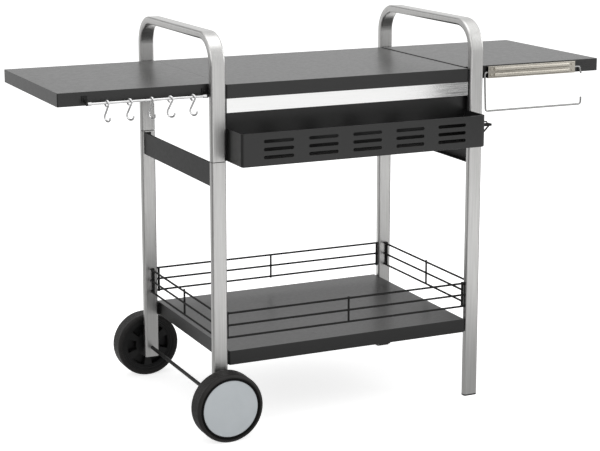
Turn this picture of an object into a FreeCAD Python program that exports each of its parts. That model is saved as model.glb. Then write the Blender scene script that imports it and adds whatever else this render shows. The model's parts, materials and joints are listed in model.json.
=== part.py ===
import FreeCAD, Part
import math
import os

# Grill cart with storage. Millimetres, Z up, X along the tables, the front is at -Y.
# Places are worked out from the point on the floor midway between the four legs, and
# each piece is moved along Y as it is written, so that the origin is on the floor
# below the middle of the whole cart.

# Frame tubes: a flat tube with rounded corners, 40 along X and 20 along Y.
TUBE_W = 40.0
TUBE_T = 20.0
TUBE_CORNER = 6.0
TUBE_WALL = 1.5
LEG_SPACING_X = 746.0
LEG_SPACING_Y = 516.0
HANDLE_RISE = 129.0
HANDLE_BEND = 70.0
JOINT_DROP = 196.0
JOINT_GAP = 2.0
SLEEVE_LENGTH = 100.0
SLEEVE_WALL = 2.0
FOOT_FLANGE = 4.0
FOOT_PLUG = 22.0
LEG_BELOW_AXLE = 26.5
END_PLUG = 12.0

# Side braces between the front and the rear leg of each frame.
BRACE_BELOW_JOINT = 3.0
BRACE_H = 62.0
BRACE_INSET = 6.5
BRACE_FLANGE = 20.0
BRACE_LIP = 5.0
BRACE_WALL = 1.5
BRACE_CORNER = 2.0

# Table tops: folded sheet with a rim that turns in at the bottom.
TABLE_Z = 914.0
SHEET = 1.5
LIP = 15.0
SHEET_CORNER = 3.0
SHEET_EDGE = 1.2
CENTRE_EDGE = 36.0
CENTRE_FRONT_SETBACK = 6.0
CENTRE_REAR_SETBACK = 18.0
SPACER = 4.0
SIDE_RISE = 1.5
SIDE_EDGE = 34.0
SIDE_LENGTH = 428.0
SEAM = 3.0
SIDE_SPACER_T = 10.0
SIDE_SPACER_H = 26.0
SIDE_SPACER_DROP = 4.0
RIB_W = 30.0
RIB_SPACING = 340.0

# Rails under the centre table.
FRONT_RAIL_H = 36.0
FRONT_RAIL_T = 15.0
REAR_RAIL_T = 30.0
REAR_RAIL_H = 36.0
REAR_RAIL_SETBACK = 5.0

# Front basket of folded sheet, with a tall back panel.
BASKET_DEPTH = 110.5
BASKET_BELOW_RAIL = 40.0
BASKET_H = 84.5
BASKET_CORNER = 9.0
BASKET_FOLD = 4.0
BASKET_HEM = 6.0
BASKET_PANEL_GAP = 1.0
SLOT_W = 82.5
SLOT_H = 9.0
SLOT_GROUPS = 5
SLOT_ROWS = 3
SLOT_PITCH_X = 124.0
SLOT_PITCH_Z = 20.2
BASKET_SCREW_COUNT = 4
BASKET_SCREW_PITCH = 200.0

# Screws.
SCREW_D = 4.0
SCREW_HEAD_D = 8.5
SCREW_HEAD_H = 2.2
SCREW_HEAD_ROUND = 1.0
SCREW_GRIP = 9.0
SMALL_SCREW_D = 3.0
SMALL_HEAD_D = 5.7

# Bottle opener on the outer side of the front right leg.
OPENER_RISE = 39.5
OPENER_REACH = 32.0
OPENER_W = 15.0
OPENER_PLATE_H = 58.5
OPENER_PLATE_T = 2.5
OPENER_SCREW_INSET = 4.5
OPENER_JAW_H = 6.5
OPENER_JAW_ROUND = 2.5
OPENER_FOOT_D = 4.5
OPENER_FOOT_DROP = 28.0
OPENER_STAY_D = 3.6
OPENER_STAY_RISE = 8.5
OPENER_STAY_REACH = 20.0
OPENER_STAY_BEND = 4.0

# Hook rail on the front of the left table.
HOOK_RAIL_D = 6.0
HOOK_RAIL_OUT = 21.0
HOOK_RAIL_DROP = 27.5
HOOK_RAIL_LENGTH = 316.0
HOOK_ARM_W = 4.0
HOOK_ARM_FOOT = 14.0
HOOK_ARM_FOOT_T = 2.5
HOOK_ARM_RISE = 10.0
HOOK_ARM_DEPTH = 8.4
HOOK_ARM_RING_R = 4.6
HOOK_COLLAR_D = 8.6
HOOK_COLLAR_L = 9.0
HOOK_ARM_HEAD_ROOM = 6.3
HOOK_SHARES = (0.834, 0.65, 0.471, 0.315, 0.126)
HOOK_TWISTS = (18.0, 28.0, 25.0, 35.0, 30.0)
HOOK_WIRE_D = 4.6
HOOK_EYE_R = 7.3
HOOK_BOWL_R = 11.0
HOOK_DROP = 33.0
HOOK_SHANK_ANGLE = 30.0
HOOK_EYE_END_ANGLE = 250.0
HOOK_BOWL_END_ANGLE = 345.0
HOOK_TIP = 1.5
HOOK_CLEARANCE = 0.3

# Towel holder on the front of the right table.
TOWEL_FROM_POST = 27.5
TOWEL_LENGTH = 279.0
TOWEL_BELOW_TOP = 18.5
TOWEL_PLATE_H = 32.0
TOWEL_PLATE_OUT = 9.7
TOWEL_SHEET = 1.2
TOWEL_FLUTE_R = 7.0
TOWEL_FLUTE_PITCH = 15.6
TOWEL_FLUTE_OUT = 3.0
TOWEL_TAB = 20.0
TOWEL_WIRE_D = 5.0
TOWEL_BEND = 7.0
TOWEL_DROP = 105.5
TOWEL_OVERHANG_LEFT = 9.0
TOWEL_LEAN = 5.0
TOWEL_OVERHANG_RIGHT = 24.0
TOWEL_UPTURN = 20.0
TOWEL_STOP = 19.0
TOWEL_STOP_LEAN = 1.5
TOWEL_BUSH_L = 10.0
TOWEL_BUSH_IN = 10.0
TOWEL_BUSH_GAP = 1.0
TOWEL_FIT = 0.08

# Bottom shelf.
SHELF_Z = 222.0
SHELF_EDGE = 37.0
SHELF_SETBACK = 1.0
SHELF_RIB_X = 104.0
SHELF_RIB_W = 32.0
SHELF_RIB_DROP = 3.0

# Wire fences round the shelf.
WIRE_D = 5.5
FENCE_RISE = 34.2
FENCE_PITCH = 32.3
FENCE_ROWS = 3
FENCE_END_D = 7.0
FENCE_POST_GAP = 0.8
FENCE_HOLE_DEPTH = 5.0
FENCE_LAP = 1.0

# Wheels and axle.
WHEEL_R = 90.5
TYRE_W = 54.0
TYRE_SECTION = 13.0
TYRE_SHOULDER = 7.0
TREAD_GROOVES = 3
TREAD_GROOVE_W = 2.5
TREAD_GROOVE_DEPTH = 1.6
WHEEL_GAP_Y = 10.5
AXLE_D = 10.0
AXLE_FIT = 0.08
RIM_WEB_T = 5.0
RIM_POCKETS = 6
RIM_POCKET_IN = 36.0
RIM_BAND = 8.0
RIM_POCKET_SPAN = 38.0
RIM_POCKET_DEPTH = 24.0
RIM_SETBACK = 3.0
RIM_DISH = 3.0
RIM_DISH_EDGE = 6.0
RIM_DISH_HUB = 4.0
RIM_BARREL_T = 3.0
HUB_R = 15.0
HUB_BACK = 13.0
CAP_T = 2.5
CAP_EDGE = 1.0
CAP_RIDGE = 2.0
CAP_SKIRT_INSET = 5.5
CAP_SKIRT_T = 2.0
CAP_SKIRT_L = 8.0
WASHER_R = 11.0
WASHER_T = 2.0
RETAINER_R = 8.5
RETAINER_L = 5.0
AXLE_PROUD = 1.0
RUNNING_GAP = 0.3

# How far a cutter runs past the face that it opens.
PAST = 1.0

# Places that follow from the sizes above.
LEG_X = LEG_SPACING_X / 2
LEG_Y = LEG_SPACING_Y / 2
INNER_X = LEG_X - TUBE_W / 2
OUTER_X = LEG_X + TUBE_W / 2
FRONT_Y = LEG_Y + TUBE_T / 2
BETWEEN_Y = LEG_Y - TUBE_T / 2
UNIT_X = INNER_X - SPACER
HANDLE_TOP_Z = TABLE_Z + HANDLE_RISE
JOINT_Z = TABLE_Z - JOINT_DROP
CENTRE_FRONT_Y = -FRONT_Y + CENTRE_FRONT_SETBACK
CENTRE_REAR_Y = FRONT_Y - CENTRE_REAR_SETBACK
CENTRE_UNDER_Z = TABLE_Z - CENTRE_EDGE
SIDE_X0 = UNIT_X + SEAM
SIDE_X1 = SIDE_X0 + SIDE_LENGTH
SIDE_Y = BETWEEN_Y - SIDE_SPACER_T
SIDE_TOP_Z = TABLE_Z + SIDE_RISE
SIDE_MIDDLE_Z = SIDE_TOP_Z - SIDE_SPACER_DROP - SIDE_SPACER_H / 2
BACK_PANEL_Y = CENTRE_FRONT_Y + FRONT_RAIL_T
BASKET_BACK_Y = BACK_PANEL_Y + SHEET
BASKET_FRONT_Y = BASKET_BACK_Y - BASKET_DEPTH
BASKET_TOP_Z = CENTRE_UNDER_Z - FRONT_RAIL_H - BASKET_BELOW_RAIL
BASKET_BOTTOM_Z = BASKET_TOP_Z - BASKET_H
OPENER_Z = JOINT_Z + OPENER_RISE
OPENER_MIDDLE_Z = OPENER_Z - (OPENER_FOOT_DROP - OPENER_STAY_RISE) / 2
OPENER_GRIP = OPENER_PLATE_T + TUBE_WALL
HOOK_RAIL_INNER_X = -OUTER_X - (HOOK_ARM_FOOT - HOOK_ARM_W) / 2 - RUNNING_GAP
HOOK_RAIL_OUTER_X = HOOK_RAIL_INNER_X - HOOK_RAIL_LENGTH
HOOK_RAIL_Y = -SIDE_Y - HOOK_RAIL_OUT
HOOK_RAIL_Z = SIDE_TOP_Z - HOOK_RAIL_DROP
HOOK_ARM_PLACES = (HOOK_RAIL_OUTER_X + HOOK_ARM_W / 2, HOOK_RAIL_INNER_X - HOOK_ARM_W / 2)
HOOK_EYE_Z = HOOK_RAIL_Z + HOOK_RAIL_D / 2 + HOOK_CLEARANCE + HOOK_WIRE_D / 2 - HOOK_EYE_R
TOWEL_X0 = OUTER_X + TOWEL_FROM_POST
TOWEL_X1 = TOWEL_X0 + TOWEL_LENGTH
TOWEL_MIDDLE_Z = SIDE_TOP_Z - TOWEL_BELOW_TOP
TOWEL_FACE_Y = -SIDE_Y - TOWEL_PLATE_OUT
TOWEL_AXIS_Y = TOWEL_FACE_Y + TOWEL_SHEET + RUNNING_GAP + TOWEL_WIRE_D / 2
TOWEL_GRIP = TOWEL_PLATE_OUT + SCREW_GRIP / 2
SHELF_UNDER_Z = SHELF_Z - SHELF_EDGE
SHELF_Y = FRONT_Y - SHELF_SETBACK
FENCE_HEIGHTS = [SHELF_Z + FENCE_RISE + FENCE_PITCH * row for row in range(FENCE_ROWS)]
AXLE_Z = WHEEL_R
TYRE_BEAD_R = WHEEL_R - TYRE_SECTION
CAP_R = TYRE_BEAD_R - RIM_BARREL_T
CAP_SKIRT_R = CAP_R - CAP_SKIRT_INSET
RIM_POCKET_OUT = CAP_SKIRT_R - RIM_BAND
WHEEL_IN_Y = FRONT_Y + WHEEL_GAP_Y
WHEEL_OUT_Y = WHEEL_IN_Y + TYRE_W
HUB_IN_Y = FRONT_Y + WASHER_T + RUNNING_GAP
HUB_OUT_Y = WHEEL_OUT_Y - HUB_BACK
AXLE_END_Y = HUB_OUT_Y + RUNNING_GAP + WASHER_T + RETAINER_L + AXLE_PROUD
ORIGIN_Y = (BASKET_FRONT_Y + WHEEL_OUT_Y) / 2


def vec(x, y, z):
    return FreeCAD.Vector(x, y, z)


def box(x0, y0, z0, x1, y1, z1):
    low = vec(min(x0, x1), min(y0, y1), min(z0, z1))
    return Part.makeBox(abs(x1 - x0), abs(y1 - y0), abs(z1 - z0), low)


def cylinder(start, end, radius):
    a, b = vec(*start), vec(*end)
    return Part.makeCylinder(radius, (b - a).Length, a, b - a)


def joined(shapes):
    whole = shapes[0].fuse(shapes[1:])
    return whole.removeSplitter()


def mirrored_x(shape):
    return shape.mirror(vec(0, 0, 0), vec(1, 0, 0))


def mirrored_y(shape):
    return shape.mirror(vec(0, 0, 0), vec(0, 1, 0))


def export(name, *solids):
    shape = solids[0] if len(solids) == 1 else Part.makeCompound(list(solids))
    shape = shape.translated(vec(0, -ORIGIN_Y, 0))
    shape.exportStep(f"parts/{name}.step")
    print(name, len(shape.Solids), round(shape.Volume, 1), shape.isValid())


def upright_edges(shape, test):
    """Edges along Z whose middle passes the test."""
    found = []
    for edge in shape.Edges:
        start, end = edge.Vertexes[0].Point, edge.Vertexes[-1].Point
        if abs(start.x - end.x) + abs(start.y - end.y) > 1e-6 or abs(start.z - end.z) < 1e-6:
            continue
        if test((start + end) * 0.5):
            found.append(edge)
    return found


def edges_at_height(shape, z):
    return [e for e in shape.Edges if abs(e.BoundBox.ZMin - z) + abs(e.BoundBox.ZMax - z) < 1e-6]


def flat_tube_face(width, thickness, corner, wall):
    """Section of a flat tube in the XY plane, solid where the wall is None."""
    outer = rounded_outline(width, thickness, corner)
    if wall is None:
        return Part.Face(outer)
    inner = rounded_outline(width - 2 * wall, thickness - 2 * wall, corner - wall)
    return Part.Face(outer).cut(Part.Face(inner)).Faces[0]


def rounded_outline(width, thickness, corner):
    x, y = width / 2, thickness / 2
    cx, cy = x - corner, y - corner
    diagonal = corner * math.sqrt(0.5)
    edges = []
    turns = ((cx, cy, 0), (-cx, cy, 90), (-cx, -cy, 180), (cx, -cy, 270))
    points = []
    for ox, oy, angle in turns:
        a = math.radians(angle)
        start = vec(ox + corner * math.cos(a), oy + corner * math.sin(a), 0)
        end = vec(ox - corner * math.sin(a), oy + corner * math.cos(a), 0)
        middle = vec(ox + diagonal * (math.cos(a) - math.sin(a)),
                     oy + diagonal * (math.sin(a) + math.cos(a)), 0)
        points.append((start, middle, end))
    for i, (start, middle, end) in enumerate(points):
        edges.append(Part.Arc(start, middle, end).toShape())
        edges.append(Part.LineSegment(end, points[(i + 1) % 4][0]).toShape())
    return Part.Wire(edges)


def post_tube(x, y, z0, z1, clearance=0.0, wall=TUBE_WALL):
    """Upright flat tube. A clearance shrinks it all round, to fit inside another."""
    shrink = 2 * clearance
    face = flat_tube_face(TUBE_W - shrink, TUBE_T - shrink, TUBE_CORNER - clearance, wall)
    tube = face.extrude(vec(0, 0, z1 - z0))
    tube.translate(vec(x, y, z0))
    return tube


def round_path(points, bend):
    """Straight runs through the points, joined by tangent arcs of the bend radius."""
    corners = [vec(*p) for p in points]
    edges = []
    start = corners[0]
    for before, corner, after in zip(corners, corners[1:], corners[2:]):
        back = (before - corner).normalize()
        ahead = (after - corner).normalize()
        half = back.getAngle(ahead) / 2
        reach = bend / math.tan(half)
        entry = corner + back * reach
        leave = corner + ahead * reach
        centre = corner + (back + ahead).normalize() * (bend / math.sin(half))
        middle = centre + (corner - centre).normalize() * bend
        edges.append(Part.LineSegment(start, entry).toShape())
        edges.append(Part.Arc(entry, middle, leave).toShape())
        start = leave
    edges.append(Part.LineSegment(start, corners[-1]).toShape())
    return Part.Wire(edges)


def wire_along(path, diameter):
    first = path.Edges[0]
    start = first.valueAt(first.FirstParameter)
    direction = first.tangentAt(first.FirstParameter)
    section = Part.Wire([Part.makeCircle(diameter / 2, start, direction)])
    return path.makePipeShell([section], True, False)


def bent_wire(points, bend, diameter):
    return wire_along(round_path(points, bend), diameter)


def pan(x0, x1, y0, y1, top_z, edge):
    """Folded sheet top: flat face, rim all round, and a lip that turns in below."""
    bottom = top_z - edge
    body = box(x0, y0, bottom, x1, y1, top_z)
    body = body.makeFillet(SHEET_CORNER, upright_edges(body, lambda p: True))
    body = body.makeFillet(SHEET_EDGE, edges_at_height(body, top_z))
    hollow = box(x0 + SHEET, y0 + SHEET, bottom + SHEET, x1 - SHEET, y1 - SHEET, top_z - SHEET)
    mouth = box(x0 + LIP, y0 + LIP, bottom - PAST, x1 - LIP, y1 - LIP, bottom + SHEET + PAST)
    return body.cut([hollow, mouth])


def tube_box(x0, y0, z0, x1, y1, z1, wall, axis):
    """Rectangular tube, open at both ends along the axis."""
    low, high = [x0, y0, z0], [x1, y1, z1]
    inner_low, inner_high = [], []
    for i, name in enumerate("xyz"):
        grow = -PAST if name == axis else wall
        inner_low.append(low[i] + grow)
        inner_high.append(high[i] - grow)
    return box(*low, *high).cut(box(*inner_low, *inner_high))


def turned(profile, x, z):
    """Solid turned about the Y axis through x, z from radius and Y pairs."""
    points = [vec(x + radius, y, z) for radius, y in profile]
    points.append(points[0])
    face = Part.Face(Part.makePolygon(points))
    return face.revolve(vec(x, 0, z), vec(0, 1, 0), 360)


def screw(x, y, z, direction, head_d=SCREW_HEAD_D, shank_d=SCREW_D, grip=SCREW_GRIP):
    """Round head whose seat is at the point, with a shank in the direction."""
    d = vec(*direction)
    seat = vec(x, y, z)
    head = Part.makeCylinder(head_d / 2, SCREW_HEAD_H, seat - d * SCREW_HEAD_H, d)
    rim = [e for e in head.Edges if e.Curve.TypeId == "Part::GeomCircle"]
    far = [e for e in rim if (e.Curve.Center - seat).Length > SCREW_HEAD_H / 2]
    head = head.makeFillet(SCREW_HEAD_ROUND, far)
    return joined([head, Part.makeCylinder(shank_d / 2, grip, seat, d)])


def screw_holes(places, direction, shank_d=SCREW_D, grip=SCREW_GRIP):
    d = vec(*direction)
    return [Part.makeCylinder(shank_d / 2, grip, vec(*p), d) for p in places]


# Frames

def handle(side):
    """Inverted U of flat tube, bent over the tables, with its ends on the leg joints."""
    start_z = JOINT_Z + JOINT_GAP
    bend_z = HANDLE_TOP_Z - TUBE_T / 2 - HANDLE_BEND
    bar_y = LEG_Y - HANDLE_BEND
    x = side * LEG_X
    pieces = []
    for end in (-1, 1):
        pieces.append(post_tube(x, end * LEG_Y, start_z, bend_z))
        section = flat_tube_face(TUBE_W, TUBE_T, TUBE_CORNER, TUBE_WALL)
        section.translate(vec(x, end * LEG_Y, bend_z))
        pieces.append(section.revolve(vec(x, end * bar_y, bend_z), vec(end, 0, 0), 90))
    bar = flat_tube_face(TUBE_W, TUBE_T, TUBE_CORNER, TUBE_WALL)
    bar.rotate(vec(0, 0, 0), vec(1, 0, 0), 90)
    bar.translate(vec(x, bar_y, bend_z + HANDLE_BEND))
    pieces.append(bar.extrude(vec(0, -2 * bar_y, 0)))
    tube = joined(pieces)
    if side < 0:
        return tube
    return tube.cut(screw_holes(opener_screw_seats(), (-1, 0, 0), SMALL_SCREW_D, OPENER_GRIP))


def fence_ends(side_x, side_y):
    """Holes in one leg for the ends of the fence wires."""
    x, y = side_x * LEG_X, side_y * LEG_Y
    holes = []
    for z in FENCE_HEIGHTS:
        holes.append(cylinder((side_x * (INNER_X - PAST), y, z),
                              (side_x * (INNER_X + FENCE_HOLE_DEPTH), y, z), WIRE_D / 2))
        holes.append(cylinder((x, side_y * (BETWEEN_Y - PAST), z),
                              (x, side_y * (BETWEEN_Y + FENCE_HOLE_DEPTH), z), WIRE_D / 2))
    return holes


def leg(side_x, side_y):
    bottom = AXLE_Z - LEG_BELOW_AXLE if side_x < 0 else FOOT_FLANGE
    x, y = side_x * LEG_X, side_y * LEG_Y
    tube = post_tube(x, y, bottom, JOINT_Z)
    holes = fence_ends(side_x, side_y)
    if side_x < 0:
        holes.append(cylinder((x, y - TUBE_T, AXLE_Z), (x, y + TUBE_T, AXLE_Z), AXLE_D / 2))
    return tube.cut(holes)


def sleeves():
    """Inner sleeves that join each leg to the end of its handle."""
    found = []
    for side_x in (-1, 1):
        for side_y in (-1, 1):
            low = JOINT_Z - SLEEVE_LENGTH / 2
            found.append(post_tube(side_x * LEG_X, side_y * LEG_Y, low, low + SLEEVE_LENGTH,
                                   TUBE_WALL, SLEEVE_WALL))
    return found


def foot_cap(y):
    flange = post_tube(LEG_X, y, 0, FOOT_FLANGE, 0.0, None)
    plug = post_tube(LEG_X, y, FOOT_FLANGE, FOOT_FLANGE + FOOT_PLUG, TUBE_WALL, SLEEVE_WALL)
    return joined([flange, plug])


def end_plug(y):
    end_z = AXLE_Z - LEG_BELOW_AXLE
    return post_tube(-LEG_X, y, end_z, end_z + END_PLUG, TUBE_WALL, None)


def brace(side):
    """Folded sheet: outer web, bottom flange, narrow top lip and a tab on each leg."""
    outer = OUTER_X - BRACE_INSET
    inner = outer - BRACE_FLANGE
    tab_y = BETWEEN_Y - BRACE_WALL
    z1 = JOINT_Z - BRACE_BELOW_JOINT
    z0 = z1 - BRACE_H
    body = box(inner, -BETWEEN_Y, z0, outer, BETWEEN_Y, z1)
    folds = [e for e in body.Edges
             if e.BoundBox.YLength > BETWEEN_Y and e.BoundBox.XMin > outer - PAST]
    body = body.makeFillet(BRACE_CORNER, folds)
    hollow = box(inner - PAST, -tab_y, z0 + BRACE_WALL,
                 outer - BRACE_WALL, tab_y, z1 - BRACE_WALL)
    mouth = box(inner - PAST, -tab_y, z1 - 2 * BRACE_WALL, outer - BRACE_LIP, tab_y, z1 + PAST)
    body = body.cut([hollow, mouth])
    return body if side > 0 else mirrored_x(body)


# Table tops and the rails below them

def centre_table():
    return pan(-UNIT_X, UNIT_X, CENTRE_FRONT_Y, CENTRE_REAR_Y, TABLE_Z, CENTRE_EDGE)


def table_rib(x):
    return tube_box(x - RIB_W / 2, CENTRE_FRONT_Y + SHEET, CENTRE_UNDER_Z + SHEET,
                    x + RIB_W / 2, CENTRE_REAR_Y - SHEET, TABLE_Z - SHEET, SHEET, "y")


def side_spacer_screws(side):
    """Seats of the screws that hold a side table to its spacers, with their directions."""
    seats = []
    for side_y in (-1, 1):
        for offset in (-TUBE_W / 4, TUBE_W / 4):
            seat = (side * LEG_X + offset, side_y * (SIDE_Y - SHEET), SIDE_MIDDLE_Z)
            seats.append((seat, (0, side_y, 0)))
    return seats


def side_table(side):
    top = pan(SIDE_X0, SIDE_X1, -SIDE_Y, SIDE_Y, SIDE_TOP_Z, SIDE_EDGE)
    if side < 0:
        top = mirrored_x(top)
    cuts = []
    for seat, direction in side_spacer_screws(side):
        cuts += screw_holes([seat], direction)
    if side < 0:
        cuts += screw_holes(hook_arm_seats(), (0, 1, 0), SMALL_SCREW_D)
    else:
        cuts += screw_holes(towel_screw_seats(), (0, 1, 0), SMALL_SCREW_D, TOWEL_GRIP)
    return top.cut(cuts)


def side_spacers(side):
    """Blocks between the posts and the rims of a side table."""
    found = []
    z0, z1 = SIDE_MIDDLE_Z - SIDE_SPACER_H / 2, SIDE_MIDDLE_Z + SIDE_SPACER_H / 2
    for side_y in (-1, 1):
        block = box(side * INNER_X, side_y * SIDE_Y, z0, side * OUTER_X, side_y * BETWEEN_Y, z1)
        cuts = []
        for seat, direction in side_spacer_screws(side):
            if seat[1] * side_y > 0:
                cuts += screw_holes([seat], direction)
        found.append(block.cut(cuts))
    return found


def front_rail():
    rail = tube_box(-UNIT_X, CENTRE_FRONT_Y, CENTRE_UNDER_Z - FRONT_RAIL_H,
                    UNIT_X, BACK_PANEL_Y, CENTRE_UNDER_Z, SHEET, "x")
    return rail.cut(screw_holes(basket_screw_seats(), (0, -1, 0)))


def rear_rail():
    y = FRONT_Y - REAR_RAIL_SETBACK
    return tube_box(-INNER_X, y - REAR_RAIL_T, CENTRE_UNDER_Z - REAR_RAIL_H,
                    INNER_X, y, CENTRE_UNDER_Z, SHEET, "x")


def end_spacer(side):
    """Black plate between a front post and the table, rail and basket."""
    return box(side * UNIT_X, CENTRE_FRONT_Y, BASKET_BOTTOM_Z + SHEET_CORNER,
               side * INNER_X, BACK_PANEL_Y, TABLE_Z - SHEET_CORNER)


# Basket

def slot(x, z):
    """Cutter for one round-ended slot through the front wall."""
    half = (SLOT_W - SLOT_H) / 2
    y0, y1 = BASKET_FRONT_Y - PAST, BASKET_FRONT_Y + 2 * SHEET + PAST
    bar = box(x - half, y0, z - SLOT_H / 2, x + half, y1, z + SLOT_H / 2)
    ends = [cylinder((x + s * half, y0, z), (x + s * half, y1, z), SLOT_H / 2) for s in (-1, 1)]
    return bar.fuse(ends)


def basket_screw_seats():
    z = CENTRE_UNDER_Z - FRONT_RAIL_H / 2
    start = -BASKET_SCREW_PITCH * (BASKET_SCREW_COUNT - 1) / 2
    return [(start + BASKET_SCREW_PITCH * i, BASKET_BACK_Y, z) for i in range(BASKET_SCREW_COUNT)]


def basket():
    """Tray with folded corners, a hem and a tall back panel."""
    def folds(shape, z):
        return [e for e in edges_at_height(shape, z) if e.BoundBox.YMin < BACK_PANEL_Y - PAST]

    body = box(-UNIT_X, BASKET_FRONT_Y, BASKET_BOTTOM_Z, UNIT_X, BASKET_BACK_Y, BASKET_TOP_Z)
    corners = upright_edges(body, lambda p: p.y < BACK_PANEL_Y)
    body = body.makeFillet(BASKET_CORNER, corners)
    body = body.makeFillet(BASKET_FOLD, folds(body, BASKET_BOTTOM_Z))
    hollow = box(-UNIT_X + SHEET, BASKET_FRONT_Y + SHEET, BASKET_BOTTOM_Z + SHEET,
                 UNIT_X - SHEET, BACK_PANEL_Y, BASKET_TOP_Z + PAST)
    corners = upright_edges(hollow, lambda p: p.y < BACK_PANEL_Y - PAST)
    hollow = hollow.makeFillet(BASKET_CORNER - SHEET, corners)
    hollow = hollow.makeFillet(BASKET_FOLD - SHEET, folds(hollow, BASKET_BOTTOM_Z + SHEET))
    hem = box(-UNIT_X + BASKET_CORNER, BASKET_FRONT_Y + SHEET, BASKET_TOP_Z - BASKET_HEM,
              UNIT_X - BASKET_CORNER, BASKET_FRONT_Y + 2 * SHEET, BASKET_TOP_Z)
    panel = box(-UNIT_X, BACK_PANEL_Y, BASKET_TOP_Z - PAST,
                UNIT_X, BASKET_BACK_Y, CENTRE_UNDER_Z - BASKET_PANEL_GAP)
    cuts = screw_holes(basket_screw_seats(), (0, -1, 0))
    middle_z = BASKET_TOP_Z - BASKET_H / 2
    for column in range(SLOT_GROUPS):
        for row in range(SLOT_ROWS):
            x = (column - (SLOT_GROUPS - 1) / 2) * SLOT_PITCH_X
            z = middle_z + (row - (SLOT_ROWS - 1) / 2) * SLOT_PITCH_Z
            cuts.append(slot(x, z))
    return joined([body.cut(hollow), hem, panel]).cut(cuts)


# Bottle opener

def opener_screw_seats():
    x = OUTER_X + OPENER_PLATE_T
    reach = OPENER_PLATE_H / 2 - OPENER_SCREW_INSET
    return [(x, -LEG_Y, OPENER_MIDDLE_Z + s * reach) for s in (-1, 1)]


def bottle_opener():
    y0, y1 = -LEG_Y - OPENER_W / 2, -LEG_Y + OPENER_W / 2
    half_plate = (TUBE_T - TUBE_CORNER) / 2
    plate = box(OUTER_X, -LEG_Y - half_plate, OPENER_MIDDLE_Z - OPENER_PLATE_H / 2,
                OUTER_X + OPENER_PLATE_T, -LEG_Y + half_plate, OPENER_MIDDLE_Z + OPENER_PLATE_H / 2)
    jaw = box(OUTER_X, y0, OPENER_Z - OPENER_JAW_H / 2,
              OUTER_X + OPENER_REACH, y1, OPENER_Z + OPENER_JAW_H / 2)
    tip = [e for e in jaw.Edges if e.BoundBox.XMin > OUTER_X + OPENER_REACH - PAST]
    jaw = jaw.makeFillet(OPENER_JAW_ROUND, tip)
    pieces = [plate, jaw]
    x0 = OUTER_X + OPENER_PLATE_T / 2
    foot_end = OUTER_X + OPENER_REACH - OPENER_FOOT_D / 2
    pieces.append(cylinder((x0, -LEG_Y, OPENER_Z - OPENER_FOOT_DROP),
                           (foot_end, -LEG_Y, OPENER_Z), OPENER_FOOT_D / 2))
    stay_end, high = OUTER_X + OPENER_STAY_REACH, OPENER_Z + OPENER_STAY_RISE
    stay = [(x0, -LEG_Y, high), (stay_end, -LEG_Y, high), (stay_end, -LEG_Y, OPENER_Z)]
    pieces.append(bent_wire(stay, OPENER_STAY_BEND, OPENER_STAY_D))
    return joined(pieces).cut(screw_holes(opener_screw_seats(), (-1, 0, 0), SMALL_SCREW_D))


# Hook rail and hooks

def hook_arm_seats():
    """Seats of the screws that hold the arms of the hook rail."""
    z = HOOK_RAIL_Z + HOOK_ARM_RISE
    return [(x, -SIDE_Y - HOOK_ARM_FOOT_T, z) for x in HOOK_ARM_PLACES]


def hook_rail():
    """Rod with a collar inside each arm."""
    def rod(x0, x1, diameter):
        return cylinder((x0, HOOK_RAIL_Y, HOOK_RAIL_Z), (x1, HOOK_RAIL_Y, HOOK_RAIL_Z), diameter / 2)

    outer, inner = HOOK_RAIL_OUTER_X + HOOK_ARM_W, HOOK_RAIL_INNER_X - HOOK_ARM_W
    return joined([rod(HOOK_RAIL_OUTER_X, HOOK_RAIL_INNER_X, HOOK_RAIL_D),
                   rod(outer, outer + HOOK_COLLAR_L, HOOK_COLLAR_D),
                   rod(inner - HOOK_COLLAR_L, inner, HOOK_COLLAR_D)])


def hook_arm(x):
    """Foot on the rim of the table, with an arm down to a ring round the rail."""
    foot_z = HOOK_RAIL_Z + HOOK_ARM_RISE
    half = HOOK_ARM_FOOT / 2
    foot = box(x - half, -SIDE_Y - HOOK_ARM_FOOT_T, foot_z - half,
               x + half, -SIDE_Y, foot_z + half)
    ring = cylinder((x - HOOK_ARM_W / 2, HOOK_RAIL_Y, HOOK_RAIL_Z),
                    (x + HOOK_ARM_W / 2, HOOK_RAIL_Y, HOOK_RAIL_Z), HOOK_ARM_RING_R)
    side = x - HOOK_ARM_W / 2
    web_top, rail_half = foot_z - half + HOOK_ARM_DEPTH / 2, HOOK_ARM_DEPTH / 2
    outline = [vec(side, -SIDE_Y, foot_z - half), vec(side, -SIDE_Y, web_top),
               vec(side, HOOK_RAIL_Y, HOOK_RAIL_Z + rail_half),
               vec(side, HOOK_RAIL_Y, HOOK_RAIL_Z - rail_half)]
    web = Part.Face(Part.makePolygon(outline + outline[:1])).extrude(vec(HOOK_ARM_W, 0, 0))
    body = joined([foot, web, ring])
    bore = cylinder((x - HOOK_ARM_W, HOOK_RAIL_Y, HOOK_RAIL_Z),
                    (x + HOOK_ARM_W, HOOK_RAIL_Y, HOOK_RAIL_Z), HOOK_RAIL_D / 2)
    seat = vec(x, -SIDE_Y - HOOK_ARM_FOOT_T, foot_z)
    head_room = Part.makeCylinder(HOOK_ARM_HEAD_ROOM / 2, HOOK_RAIL_OUT, seat, vec(0, -1, 0))
    hole = screw_holes([seat], (0, 1, 0), SMALL_SCREW_D)
    return body.cut([bore, head_room] + hole)


def arm_screw(seat, direction, grip):
    return screw(*seat, direction, SMALL_HEAD_D, SMALL_SCREW_D, grip)


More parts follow.
